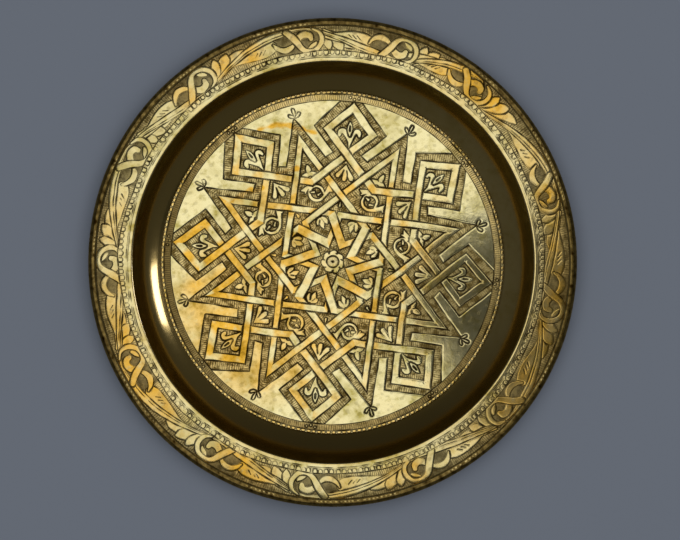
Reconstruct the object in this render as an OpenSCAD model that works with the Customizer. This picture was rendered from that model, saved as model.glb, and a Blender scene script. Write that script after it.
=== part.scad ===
// Round serving tray of spun brass sheet: a flat floor, a hollow wall, a gently crowned
// flange and an edge that is rolled round a steel wire. The tray lies on its base, with the
// origin at the middle of the base and +Z up. All sizes are in millimetres.

/* [Tray] */
// Diameter over the rolled edge
tray_d = 300; // [276:1:360]
// Height from the base to the top of the flange
tray_h = 18.5; // [14:0.5:26]
// Thickness of the brass sheet
sheet_t = 1; // [0.8:0.1:1.4]

/* [Well] */
// Diameter of the flat floor
floor_d = 212; // [190:1:228]
// Slope of the wall where it leaves the floor
foot_slope = 25; // [15:1:40]
// Slope of the wall just below the mouth
mouth_slope = 65; // [55:1:80]
// Radius of the rounded edge of the mouth, on the upper side
mouth_r = 2; // [1.6:0.1:4]

/* [Flange] */
// Downward slope of the flange where it meets the rolled edge
flange_slope = 14; // [6:1:22]

/* [Rolled edge] */
// Outside diameter of the roll
roll_d = 6; // [5:0.25:8]
// Height of the roll's crest above the flange beside it
crest_h = 0.8; // [0.3:0.1:1.2]
// Clearance between the wire and the sheet that is rolled round it
wire_gap = 0.1; // [0.05:0.05:0.3]
// Width of the open seam between the sheet's raw edge and the flange
seam_gap = 0.4; // [0.2:0.1:0.6]

/* [Hidden] */
$fn = 128;

// Straight steps that an arc of the profile is drawn with
wall_steps = 14;
mouth_steps = 8;
flange_steps = 12;

// Wall: one arc that steepens from the foot to the mouth
floor_r = floor_d / 2;
wall_rise = tray_h - sheet_t - mouth_r * (1 - cos(mouth_slope));
wall_r = wall_rise / (cos(foot_slope) - cos(mouth_slope));
wall_c = [floor_r - wall_r * sin(foot_slope), sheet_t + wall_r * cos(foot_slope)];
wall_top = wall_c + wall_r * [sin(mouth_slope), -cos(mouth_slope)];

// Mouth: the rounded edge between the wall and the flange
mouth_c = wall_top + mouth_r * [sin(mouth_slope), -cos(mouth_slope)];

// Roll: its circle meets the flange in a crease, just below the crest
roll_r = roll_d / 2;
roll_bore_r = roll_r - sheet_t;
crease_up = roll_r - crest_h;
crease_in = sqrt(pow(roll_r, 2) - pow(crease_up, 2));
crease_r = tray_d / 2 - roll_r - crease_in;

// Flange: one arc, level at the mouth and falling towards the crease
flange_r = (crease_r - mouth_c[0]) / sin(flange_slope);
flange_c = [mouth_c[0], tray_h - flange_r];
crease_z = flange_c[1] + flange_r * cos(flange_slope);
roll_c = [tray_d / 2 - roll_r, crease_z - crease_up];

// The flange runs on past the crease, into the thickness of the roll
lap = 0.35 * sheet_t;
flange_end = flange_slope + asin(lap / flange_r);

// Seam: where the raw edge ends, turned a little below the underside of the flange
seam_turn = 11;
under_crease = [-crease_in, crease_up] - sheet_t * [sin(flange_slope), cos(flange_slope)];
seam_angle = atan2(under_crease[1], under_crease[0]) + seam_turn;

wire_d = 2 * (roll_bore_r - wire_gap);

brass = [0.80, 0.64, 0.30];
steel = [0.46, 0.46, 0.48];

// Points of an arc round c, from one angle to another
function arc(c, r, from, to, steps) =
    [for (i = [0 : steps]) let (a = from + (to - from) * i / steps) c + r * [cos(a), sin(a)]];

// Upper or lower side of the sheet from the foot of the wall to the roll; depth is the
// distance below the upper side
function side(depth) = concat(
    arc(wall_c, wall_r + depth, foot_slope - 90, mouth_slope - 90, wall_steps),
    arc(mouth_c, mouth_r - depth, mouth_slope + 90, 90, mouth_steps),
    arc(flange_c, flange_r - depth, 90, 90 - flange_end, flange_steps)
);

function reversed(points) = [for (i = [len(points) - 1 : -1 : 0]) points[i]];

// Half section of the floor, wall and flange
module plate_section() {
    base_r = floor_r + sheet_t * tan(foot_slope / 2);
    polygon(concat(
        [[0, sheet_t]],
        side(0),
        reversed(side(sheet_t)),
        [[base_r, 0], [0, 0]]
    ));
}

// Slot that parts the raw edge of the roll from the flange
module seam_section() {
    rotate(seam_angle)
        translate([roll_r - 2 * sheet_t, -seam_gap / 2])
            square([3 * sheet_t, seam_gap]);
}

// Section of the rolled edge: a tube that stays open along the seam
module roll_section() {
    translate(roll_c)
        difference() {
            circle(r = roll_r);
            circle(r = roll_bore_r);
            seam_section();
        }
}

// The whole tray in one sheet, with its edge rolled into an open tube
module tray_sheet() {
    color(brass)
        union() {
            rotate_extrude() plate_section();
            rotate_extrude() roll_section();
        }
}

// Wire ring that stiffens the edge from inside the roll
module rim_wire() {
    color(steel)
        rotate_extrude()
            translate(roll_c)
                circle(d = wire_d);
}

tray_sheet();
rim_wire();
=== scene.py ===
"""Round brass tray with an engraved floor, a beaded border, a hollow wall, an engraved flange and an edge
that is rolled round a wire. The drawing is worked out in millimetres on the tray, with +Y towards the top of
the tray as it is shown upright, and the pieces are written in metres."""

import math

import bpy
import numpy as np
from bpy.props import FloatProperty, FloatVectorProperty, IntProperty, PointerProperty
from bpy.types import Operator, Panel, PropertyGroup
from mathutils import Matrix, Vector


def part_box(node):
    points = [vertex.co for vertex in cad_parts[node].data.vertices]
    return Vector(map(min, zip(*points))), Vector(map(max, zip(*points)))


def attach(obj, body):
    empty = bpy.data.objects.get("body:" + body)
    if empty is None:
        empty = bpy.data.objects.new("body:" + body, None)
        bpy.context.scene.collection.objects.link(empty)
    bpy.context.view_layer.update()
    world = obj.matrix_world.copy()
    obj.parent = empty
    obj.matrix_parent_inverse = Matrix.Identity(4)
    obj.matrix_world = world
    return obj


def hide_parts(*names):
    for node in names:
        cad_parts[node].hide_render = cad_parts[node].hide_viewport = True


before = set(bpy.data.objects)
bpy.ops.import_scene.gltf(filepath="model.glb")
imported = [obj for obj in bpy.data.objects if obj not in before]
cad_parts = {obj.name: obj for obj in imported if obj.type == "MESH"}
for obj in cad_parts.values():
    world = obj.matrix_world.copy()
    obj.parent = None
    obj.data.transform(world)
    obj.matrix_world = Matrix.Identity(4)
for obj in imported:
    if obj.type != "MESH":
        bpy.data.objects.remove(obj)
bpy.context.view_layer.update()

bl_info = {
    "name": "Engraved brass tray",
    "version": (1, 0, 0),
    "blender": (4, 5, 0),
    "location": "View3D > Sidebar > Brass tray",
    "description": "Builds a round brass tray with an engraved floor and flange and a wired edge",
    "category": "Object",
}

MM = 0.001
# Farther than anything on the tray, in millimetres
FAR = 1000.0
QUARTER = 0.5 * math.pi
EIGHTHS = tuple(range(0, 360, 45))
SHEET_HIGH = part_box("tray_sheet")[1]

# Grids of the pieces: the side of the floor's square, the rows and columns of the border, and for the others
# the rows above, the rows below and the columns
FLOOR_GRID = 300
BORDER_GRID = (28, 2392)
WALL_GRID = (40, 14, 720)
FLANGE_GRID = (80, 10, 760)
EDGE_GRID = (52, 14, 1440)
UNDERSIDE_TARNISH = 0.6

# Leaves are drawn this much wider than their discs, on the floor and on the flange
LEAF_SPREAD = 0.4
BAND_SPREAD = 0.6
# Hatching of the ground: its pitch, the depth of a stroke and its darkness
HATCH_PITCH = 1.3
STROKE_DEPTH = 0.06
STROKE_SHADE = 0.6

# Floor drawing, in millimetres from the middle of the tray. The eight sectors are alike, and each is drawn
# with its diamond on the +Y axis; the whole drawing is then turned a little clockwise.
PATTERN_TURN = 7.6
DRAWING_R = 100.0
# A strap has its bends, the half width of each straight length, and its levels: distances along the length
# where it goes over, 1, or under, -1. The star strap runs from one point of the star to the third next: along
# one side, round the inner star, and back.
STAR_POINTS = ((-71.5, 29.7), (-4.5, 29.7), (4.6, 11.0), (21.7, 20.3), (71.5, -29.7))
STAR_HALVES = (2.2, 2.95, 2.15, 2.2)
STAR_LEVELS = (
    ((24.4, -1), (41.9, 1), (59.3, -1)),
    ((7.7, 1),),
    ((12.9, -1),),
    ((11.3, 1), (28.6, -1), (46.2, 1)),
)
# The diamond strap runs from one spike ray to the next: up, round the diamond and down
DIAMOND_POINTS = ((-19.65, 47.4), (13.75, 81.4), (0.0, 96.1), (-13.75, 81.4), (19.65, 47.4))
DIAMOND_HALVES = (2.45, 2.6, 2.6, 2.45)
DIAMOND_LEVELS = (
    ((10.2, 1), (27.8, -1)),
    ((0.0, 1),),
    ((0.0, 1),),
    ((20.2, 1), (37.8, -1)),
)
# Outline of the dark ground on the right half of a sector, from the rim to the spike, and on its left half
OUTLINE_RIGHT = ((4.6, 100.2), (22.2, 82.3), (8.3, 67.8), (12.9, 64.2), (35.3, 85.3))
OUTLINE_LEFT = ((-7.6, 100.0), (-22.2, 82.3), (-8.3, 67.8), (-12.9, 64.2))
# Sprays in the cells of one sector. A spray is a few leaves that run together, and a leaf is a row of discs,
# as x, y and radius
FLOOR_SPRAYS = (
    # palmette in the diamond, and its bud
    (
        ((0.4, 71.6, 0.2), (0.4, 74.5, 0.9), (0.5, 77.0, 1.1)),
        ((0.1, 75.2, 0.7), (-2.2, 79.0, 1.0), (-4.1, 81.4, 1.4), (-5.9, 80.8, 1.4), (-6.2, 78.9, 0.9)),
        ((0.9, 75.2, 0.7), (2.3, 79.8, 0.9), (3.6, 82.1, 1.3), (5.2, 81.6, 1.4), (5.8, 79.7, 0.9)),
    ),
    (((-0.2, 79.4, 0.6), (-0.5, 82.6, 1.5), (-0.6, 85.2, 1.1), (-0.8, 87.2, 0.3)),),
    # fan below the crossing
    (
        ((0.4, 61.2, 0.2), (-1.2, 57.8, 1.0), (-3.9, 54.2, 1.5)),
        ((0.4, 60.2, 0.3), (0.5, 56.0, 1.2), (0.5, 52.2, 1.4)),
        ((0.4, 61.2, 0.2), (2.2, 57.0, 1.0), (4.7, 52.9, 1.5)),
    ),
    # trefoil at the foot of the spike
    (
        ((21.8, 52.4, 1.0), (20.0, 52.8, 1.4), (18.0, 53.6, 0.8)),
        ((21.9, 52.3, 1.0), (23.4, 51.4, 1.4), (25.0, 50.2, 0.8)),
        ((21.8, 52.4, 1.0), (23.0, 55.0, 1.6), (23.9, 57.2, 0.7)),
    ),
    # scroll: ring with a forked leaf at each end, and two buds inside
    (
        (
            (27.4, 38.2, 1.1), (25.8, 37.2, 1.5), (23.4, 36.4, 1.2), (20.2, 35.5, 0.9),
            (16.9, 35.5, 0.85), (14.2, 37.5, 0.85), (13.4, 40.5, 0.85), (15.0, 43.3, 0.85),
            (18.1, 44.5, 0.85), (21.0, 43.3, 0.85), (22.4, 40.6, 0.8), (21.6, 37.6, 0.8),
        ),
        ((25.8, 37.2, 1.1), (26.6, 35.0, 0.4)),
        ((18.2, 45.4, 0.6), (15.6, 46.0, 1.2), (13.2, 46.1, 1.2), (11.2, 46.9, 0.4)),
        ((14.8, 45.6, 0.9), (12.2, 44.2, 0.4)),
    ),
    (((15.4, 42.4, 0.3), (17.0, 41.4, 0.8)),),
    (((20.2, 38.4, 0.3), (18.2, 38.5, 0.8)),),
    # drop in the small triangle
    (((0.0, 37.4, 0.2), (0.0, 35.4, 0.8)),),
    # leaf of three lobes in the kite
    (
        ((9.9, 26.0, 0.9), (8.0, 25.3, 1.2), (6.9, 24.4, 0.7)),
        ((10.3, 25.6, 1.0), (9.1, 22.8, 1.5), (8.5, 20.2, 0.4)),
        ((11.5, 25.6, 0.9), (12.1, 23.4, 1.3), (12.0, 21.5, 0.7)),
    ),
    # loops at the tip of the spike
    (((36.0, 85.6, 0.1), (34.9, 87.0, 0.55), (34.2, 88.1, 0.5)),),
    (((36.7, 85.3, 0.1), (38.4, 85.4, 0.55), (39.6, 85.9, 0.5)),),
    (((36.5, 86.2, 0.1), (37.3, 88.3, 0.55), (37.9, 89.9, 0.5)),),
)
# Veins of the leaves, as thin rows of discs
FLOOR_CUTS = (
    ((-0.5, 82.0, 0.3), (-0.6, 84.8, 0.1)),
    ((-1.2, 55.0, -0.1), (-0.3, 57.9, -0.2)),
    ((2.1, 54.8, -0.1), (1.3, 57.6, -0.2)),
    ((20.9, 54.4, -0.1), (21.5, 53.1, -0.2)),
    ((23.9, 52.9, -0.1), (22.6, 52.8, -0.2)),
    ((8.1, 24.0, -0.1), (9.5, 25.4, -0.2)),
    ((10.8, 22.6, -0.1), (10.8, 25.0, -0.2)),
)
# Rosette in the middle
ROSETTE_R = 6.3
ROSETTE_PETALS = 7
ROSETTE_PETAL_REACH = 1.3
ROSETTE_EYE_R = 3.6
ROSETTE_DOT_R = 0.45
# Golden streaks on the floor, partly painted warm reflection, as x, y and half width
GOLDEN_STREAKS = (
    ((-46.0, 82.0, 0.6), (-31.0, 85.0, 1.5), (-10.5, 80.0, 0.9)),
    ((-65.0, 35.5, 1.0), (-55.0, 42.5, 1.6), (-43.5, 46.0, 1.8)),
    ((-34.0, 55.0, 0.8), (-21.0, 58.5, 1.2)),
)
# Middle of the painted dark reflection on the floor, and the distances where it begins and ends to fade
DARK_REFLECTION_MIDDLE = (82.0, -24.0)
DARK_REFLECTION_FADE = (26.0, 54.0)
# The same for the golden patch, and the radii where the golden middle fades
PATCH_MIDDLE = (-48.0, -32.0)
PATCH_FADE = (34.0, 66.0)
GOLD_MIDDLE_FADE = (48.0, 74.0)
# Lengths of the two waves in which a strap turns golden
STRAP_WAVES = (43.0, 17.0)

# Border round the floor
BORDER_LINES = (100.3, 104.1)
HATCH_BAND = (100.6, 104.0)
BORDER_HATCH_PITCH = 1.25
# Scallops where a diamond touches the border, as x, y and radius
TIP_SCALLOPS = ((-2.6, 102.6, 0.95), (0.1, 101.6, 1.0), (2.7, 102.5, 0.95))
# Row of beads: its radius, a bead's half length and half width, and its height
BEAD_RING_R = 105.1
BEAD_HALF = (1.32, 0.92)
BEAD_HEIGHT = 0.25
# Radii over which the trench between the beads begins, its depth, and where the band's tarnish gives way
TRENCH_EDGE = (104.0, 104.3)
TRENCH_DEPTH = 0.12
BEAD_EDGE = (104.0, 104.4)
# Radius where the border's underside has one more ring of points
BORDER_UNDER_R = 103.0

# Angles in degrees of the sides of the tray with painted shade (beads, wall and flange), painted light (wall)
# or a golden tint (flange)
BEADS_SHADY_AT = 40.0
WALL_PAINTED_SHADE_AT = -80.0
WALL_PAINTED_LIGHT_AT = 12.0
FLANGE_SHADY_AT = -20.0
FLANGE_GOLD_AT = -18.0

# Flange drawing: a scroll with thirteen volutes. Each has the angle of its middle and the side that it opens
# to, 1 outwards and -1 inwards. One unit is drawn with u clockwise and v to the open side.
BAND_R = 136.9
BAND_OUTER = 146.0
UNITS = (
    (151.4, -1), (126.7, 1), (97.0, -1), (72.3, 1), (50.6, -1), (17.1, -1), (-11.2, 1),
    (-41.0, -1), (-67.2, 1), (-96.9, -1), (-123.0, 1), (-153.7, -1), (-179.8, 1),
)
# The unit where the scroll turns back on itself: its stem dips to the inner edge at DIP_ANGLE
ODD_UNIT = 50.6
DIP_ANGLE = 46.5
# The stem's swing from the middle of the band, its pull to the volute before it, and its least half width
# with what is added at its widest
STEM_REACH = 7.2
STEM_EARLY = 0.7
STEM_HALF = (0.85, 1.45)
# Half length of a unit along the band
UNIT_REACH = 55.0
# Leaves of one unit, as rows of discs: the long leaf lies under the stem, the volute over it
LONG_LEAF = (
    (-50.0, 2.4, 0.0), (-44.5, 1.5, 1.4), (-36.0, 1.3, 3.0), (-29.0, 1.0, 3.9), (-24.5, 0.6, 3.9),
    (-22.2, 0.2, 3.4),
)
VOLUTE = (
    # half curl
    (
        (-20.2, -1.0, 0.2), (-18.4, 1.8, 0.9), (-15.6, 3.8, 1.4), (-12.6, 4.2, 1.5), (-9.4, 3.0, 1.1),
        (-7.2, 0.6, 0.2),
    ),
    # hook and petal inside the volute
    ((-5.2, 0.2, 0.8), (-3.8, -2.6, 1.6), (-0.8, -4.1, 1.8), (2.2, -3.2, 1.7), (3.0, -0.8, 1.2)),
    ((1.2, 5.6, 0.5), (3.6, 4.2, 1.5), (5.8, 1.8, 0.5)),
    # band round it
    (
        (-11.4, -6.8, 1.5), (-8.4, -3.2, 1.8), (-6.0, 0.4, 1.7), (-3.9, 4.0, 1.5), (-1.4, 6.2, 1.1),
        (2.2, 6.9, 0.9), (6.2, 5.8, 1.1), (8.9, 2.4, 1.2), (9.5, -1.4, 1.1), (8.0, -4.9, 0.8),
        (4.4, -6.9, 0.2),
    ),
)
# Petals on the far side of the volute, which go under the stem
FAN = (
    ((15.6, -3.8, 0.8), (22.0, 0.6, 2.7), (27.4, 3.0, 2.2), (31.6, 3.8, 0.5)),
    ((11.0, -5.4, 0.8), (15.8, -0.6, 2.8), (19.6, 3.0, 2.8), (21.8, 5.6, 0.9)),
    ((8.6, -5.8, 0.6), (11.6, -1.0, 2.0), (13.4, 3.2, 2.1), (14.0, 6.0, 0.7)),
)
# Short strokes on the long leaf
VOLUTE_CUTS = (
    ((-33.0, 2.9, -0.12), (-31.0, 1.0, -0.12)),
    ((-30.6, 2.9, -0.12), (-28.5, 0.8, -0.12)),
    ((-28.0, 2.9, -0.12), (-25.8, 0.6, -0.12)),
)
# Golden places along the flange, partly the brass's own tone and partly painted warm reflection, as the angle
# of the middle, the half width in degrees and the strength
GOLD_PLACES = (
    (170.0, 8.0, 0.4), (132.0, 3.0, 0.7), (115.5, 7.0, 0.85), (97.0, 6.0, 0.4), (78.0, 6.0, 0.6),
    (52.0, 14.0, 1.0), (28.0, 8.0, 0.5), (16.0, 5.0, 0.8), (-72.0, 6.0, 0.75), (-88.0, 4.0, 0.4),
    (-114.0, 9.0, 0.95), (-152.0, 17.0, 0.95), (-172.0, 6.0, 0.6),
)
# Row of ring punches, which swings outwards round one angle, over some degrees to each side
RING_R = 128.2
RING_SIZE = 1.45
RING_SWING = 1.6
RING_SWING_ANGLE = 177.0
RING_SWING_WIDTH = 15.0
RING_TO_BAND = 1.5
# Lines between the row and the mouth
PLAIN_LINES = (125.7, 126.4)
# Radii over which the flange becomes worn, golden, free of the inner painted shade and fully dark in its
# ground, and over which, towards the crease, its ground blackens and browns, the metal browns, and the ground
# fades
WORN_FROM = (126.0, 129.0)
GOLD_FROM = (128.0, 132.0)
SHADE_ENDS = (131.0, 139.0)
FULL_GROUND_FROM = (137.0, 142.0)
BLACK_GROUND_FROM = (140.0, 144.0)
BROWN_GROUND_FROM = (140.5, 144.0)
BROWN_FROM = (144.0, 145.4)
GROUND_FADES = (143.5, 145.5)

# Rolled edge: angle of the row of dashes round the tube, its half width and its depth
DASH_TILT = 98.0
DASH_HALF = 0.36
DASH_DEPTH = 0.12
# Angle between the flange's underside and the middle of the open seam
SEAM_TURN = 11.0

# Stage, in metres. The table lies a hair below the tray's foot.
TABLE_Z = -0.0002
TABLE_HALF = 3.0
SURROUND = (0.92, 0.96, 1.0, 1.0)
# Lamps, as place, target, size and tint
OVERHEAD = ((0.0, 0.05, 1.9), (0.0, 0.05, 0.0), (2.5, 2.5), (1.0, 0.98, 0.94))
STREAK = ((1.52, 0.28, 0.8), (0.0, 0.0, 0.01), (0.5, 0.46), (0.62, 0.66, 1.0))
STREAK_LIGHT = 15.5
# Corners of the dark card over the tray's right side, its two faces and how far each lets light through
CARD_CORNERS = (
    (0.24, 0.06), (0.142, 0.041), (0.094, 0.014), (0.093, -0.06), (0.12, -0.096), (0.24, -0.226), (0.4, -0.4),
    (0.75, -0.2), (0.75, 0.16),
)
CARD_FACES = ((0, 1, 2, 3, 4, 5), (0, 5, 6, 7, 8))
CARD_OPEN = (0.0, 0.19)
CARD_Z = 0.6
CARD_TINT = (0.5, 0.5, 0.47, 1.0)


def ease(low, high, x):
    """Smooth step of x: 0 below low, 1 above high, and a cubic between them."""
    t = np.clip((x - low) / (high - low), 0.0, 1.0)
    return t * t * (3.0 - 2.0 * t)


def wrapped(degrees):
    """An angle brought to between -180 and 180 degrees."""
    return (degrees + 180.0) % 360.0 - 180.0


def facing(angle, middle, low, high):
    """How far an angle in degrees lies on the side of the tray round a middle angle: a smooth step of the
    cosine between them."""
    return ease(low, high, np.cos(np.radians(angle - middle)))


def strokes(run, pitch, wander):
    """Hatching from 0 to 1: a sine along the run, whose phase wanders."""
    return 0.5 + 0.5 * np.sin(run * math.tau / pitch + wander)


def turned(x, y, degrees):
    """The point x, y turned anticlockwise about the middle."""
    c = math.cos(math.radians(degrees))
    s = math.sin(math.radians(degrees))
    return c * x - s * y, s * x + c * y


def sway(x, y, span, seed):
    """Smooth wandering value of about -1 to 1: six sine waves of seeded direction and phase, added up, whose
    lengths are near span."""
    pick = np.random.default_rng(seed)
    total = np.zeros(np.shape(x))
    for wave in range(6):
        way = pick.uniform(0.0, math.tau)
        length = span * pick.uniform(0.7, 1.5)
        phase = pick.uniform(0.0, math.tau)
        total += np.sin((x * math.cos(way) + y * math.sin(way)) * math.tau / length + phase)
    return total / 3.0


def through(points, steps=5):
    """Points on the smooth curve through the given ones: a Catmull-Rom spline with steps points to a span,
    which carries every column, such as the radius, along with x and y."""
    p = np.asarray(points, float)
    p = np.vstack((2.0 * p[0] - p[1], p, 2.0 * p[-1] - p[-2]))
    a, b, c, d = p[:-3], p[1:-2], p[2:-1], p[3:]
    t = np.arange(steps)[:, None, None] / steps
    curve = b + 0.5 * t * (c - a + t * (2.0 * a - 5.0 * b + 4.0 * c - d + t * (3.0 * (b - c) + d - a)))
    return np.vstack((curve.transpose(1, 0, 2).reshape(-1, p.shape[1]), p[-2]))


def swept(x, y, path):
    """Signed distance to the shape that a disc covers on its way along the path, whose rows are x, y and
    radius: the least, over the straight spans, of the distance to the span less the radius there."""
    best = np.full(np.shape(x), FAR)
    for (ax, ay, ar), (bx, by, br) in zip(path[:-1], path[1:]):
        dx = bx - ax
        dy = by - ay
        t = np.clip(((x - ax) * dx + (y - ay) * dy) / (dx * dx + dy * dy + 1e-9), 0.0, 1.0)
        away = np.hypot(x - ax - t * dx, y - ay - t * dy) - (ar + t * (br - ar))
        best = np.minimum(best, away)
    return best


def polygon(x, y, corners):
    """Signed distance to a closed polygon, less than 0 inside: the distance to the nearest side, with its
    sign from the count of the sides that a ray along +X crosses."""
    best = np.full(np.shape(x), FAR)
    inside = np.zeros(np.shape(x), bool)
    for (ax, ay), (bx, by) in zip(corners, np.roll(corners, -1, axis=0)):
        best = np.minimum(best, swept(x, y, ((ax, ay, 0.0), (bx, by, 0.0))))
        if ay != by:
            crossed = (ay > y) != (by > y)
            inside ^= crossed & (x < ax + (bx - ax) * (y - ay) / (by - ay))
    return np.where(inside, -best, best)


class Drawing:
    """Engraving on the points x, y: line is the distance to the nearest cut line, and field the signed
    distance to the nearest polished shape, less than 0 inside it."""

    def __init__(self, x, y):
        self.x = x
        self.y = y
        self.line = np.full(x.shape, FAR)
        self.field = np.full(x.shape, FAR)

    def part(self, at, x, y):
        """The points at as a drawing with coordinates of their own, which goes on from this one."""
        made = Drawing(x, y)
        made.line = self.line[at]
        made.field = self.field[at]
        return made

    def put(self, at, made):
        """Takes back the points of a part."""
        self.line[at] = made.line
        self.field[at] = made.field

    def near(self, path):
        """The points that a shape along the path can touch."""
        middle = path.mean(axis=0)
        reach = np.max(np.hypot(path[:, 0] - middle[0], path[:, 1] - middle[1]) + path[:, 2]) + 2.0
        return np.flatnonzero(np.hypot(self.x - middle[0], self.y - middle[1]) < reach)

    def lay(self, at, away):
        """Lays a polished shape, given by its signed distance, over what is there: it hides the lines under
        it and gets a line round it."""
        kept = np.where(away < 0.0, FAR, self.line[at])
        self.line[at] = np.minimum(kept, np.abs(away))
        self.field[at] = np.minimum(self.field[at], away)

    def spray(self, leaves, spread):
        """Polished leaves that run together: each is a disc of changing radius, widened by spread, that is
        carried along the curve through its points."""
        paths = [through(points) + (0.0, 0.0, spread) for points in leaves]
        at = self.near(np.vstack(paths))
        away = np.full(at.size, FAR)
        for path in paths:
            away = np.minimum(away, swept(self.x[at], self.y[at], path))
        self.lay(at, away)

    def cut(self, points):
        """A cut line along the curve through the points."""
        path = through(points)
        at = self.near(path)
        self.line[at] = np.minimum(self.line[at], swept(self.x[at], self.y[at], path))


def strap_lengths(points, halves, levels):
    """The straight lengths of a strap between its bends, as start, end, direction, half width, the normals of
    the mitres at both ends and the levels along it. At a bend the mitre joins the two corners where the edges
    of the lengths cross; at the strap's own ends it lies on the ray from the middle of the floor."""
    points = np.asarray(points, float)
    along = np.diff(points, axis=0)
    along /= np.hypot(along[:, 0], along[:, 1])[:, None]
    across = np.stack((-along[:, 1], along[:, 0]), axis=1)
    mitres = [points[0]]
    for k in range(1, len(along)):
        mitres.append(np.linalg.solve(across[k - 1 : k + 1], np.asarray(halves[k - 1 : k + 1])))
    mitres.append(points[-1])
    made = []
    for k, way in enumerate(along):
        normals = []
        for m in mitres[k : k + 2]:
            n = np.array((m[1], -m[0])) / np.hypot(m[0], m[1])
            normals.append(n if n @ way > 0.0 else -n)
        made.append((points[k], points[k + 1], way, halves[k], normals[0], normals[1], levels[k]))
    return made


def weave(x, y):
    """Interlaced straps, as the depth inside them, the distance to their visible edges, the run along the
    uppermost one and a seeded phase of its own. A length covers the points within its half width and between
    its mitres. Its level rises and falls along it, and where two cross, the lower one is hidden."""
    lengths = strap_lengths(STAR_POINTS, STAR_HALVES, STAR_LEVELS)
    lengths += strap_lengths(DIAMOND_POINTS, DIAMOND_HALVES, DIAMOND_LEVELS)
    inside = np.full(x.shape, -FAR)
    top = np.full(x.shape, -FAR)
    run = np.zeros(x.shape)
    tone = np.zeros(x.shape)
    edges = []
    pick = np.random.default_rng(2404)
    for turn in EIGHTHS:
        px, py = turned(x, y, -turn)
        for start, end, way, half, first, last, levels in lengths:
            along = (px - start[0]) * way[0] + (py - start[1]) * way[1]
            off = np.abs((py - start[1]) * way[0] - (px - start[0]) * way[1])
            after = (px - start[0]) * first[0] + (py - start[1]) * first[1]
            before = (end[0] - px) * last[0] + (end[1] - py) * last[1]
            ends = np.minimum(after, before)
            depth = np.minimum(half - off, ends)
            level = np.interp(along, [at for at, up in levels], [up for at, up in levels])
            upper = np.where(inside > 0.0, (depth > 0.0) & (level > top), depth > inside)
            run = np.where(upper, along, run)
            tone = np.where(upper, pick.uniform(0.0, math.tau), tone)
            inside = np.maximum(inside, depth)
            top = np.where((depth > 0.0) & (level > top), level, top)
            edges.append((level, np.maximum(np.abs(off - half), -ends)))
    line = np.full(x.shape, FAR)
    for level, edge in edges:
        line = np.minimum(line, np.where(top > level + 0.1, FAR, edge))
    return inside, line, run, tone


def ground_outline():
    """Corners of the outer edge of the dark ground, sector by sector anticlockwise."""
    sector = OUTLINE_RIGHT[::-1] + OUTLINE_LEFT
    corners = [turned(x, y, turn) for turn in EIGHTHS for x, y in sector]
    return np.array(corners)


def draw_rosette(drawing):
    """The rosette: a disc with a petalled edge, whose radius follows a sine of the angle, seams between the
    petals, and an eye with a dot."""
    r = np.hypot(drawing.x, drawing.y)
    a = np.arctan2(drawing.y, drawing.x)
    petals = np.abs(np.sin(0.5 * ROSETTE_PETALS * a + 0.35 * r))
    drawing.lay(np.arange(r.size), r - ROSETTE_R - ROSETTE_PETAL_REACH * petals)
    seam = 2.0 * r * petals / ROSETTE_PETALS + FAR * (np.abs(r - ROSETTE_R) > 1.1)
    for line in (seam, np.abs(r - ROSETTE_EYE_R), r - ROSETTE_DOT_R):
        drawing.line = np.minimum(drawing.line, line)
    drawing.field = np.where(r < ROSETTE_EYE_R, 0.12, drawing.field)


def floor_gold(x, y, r, inside, run, tone):
    """Golden tint of the floor, partly the brass's own tone and partly painted warm reflection. It comes and
    goes along each strap by two sine waves of its own phase, wanders over the rest, and is strongest to the
    left, in the middle and along the golden streaks."""
    wave = 0.6 * np.sin(run * math.tau / STRAP_WAVES[0] + tone)
    wave += 0.4 * np.sin(run * math.tau / STRAP_WAVES[1] + 3.0 * tone)
    wave += 0.35 * sway(x, y, 9.0, 19)
    left = ease(-20.0, 75.0, -0.95 * x - 0.25 * y)
    middle = 1.0 - ease(*GOLD_MIDDLE_FADE, r)
    strap = 0.12 + 0.88 * ease(-0.3, 0.6, wave + 0.6 * left)
    strap *= 0.25 + 0.75 * np.maximum(0.85 * middle, left)
    rest = 0.25 + 0.6 * ease(0.1, 0.8, sway(x, y, 26.0, 18))
    patch = 1.0 - ease(*PATCH_FADE, np.hypot(x - PATCH_MIDDLE[0], y - PATCH_MIDDLE[1]))
    patch *= 0.75 + 0.25 * sway(x, y, 16.0, 20)
    gold = np.where(inside > 0.0, strap, np.maximum(rest * (0.08 + 0.7 * middle), 0.9 * patch))
    golden_streak = np.full(x.shape, FAR)
    for points in GOLDEN_STREAKS:
        golden_streak = np.minimum(golden_streak, swept(x, y, through(points)))
    return np.maximum(gold, 1.0 - ease(-1.0, 1.2, golden_streak + 0.8 * sway(x, y, 6.0, 23)))


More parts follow.
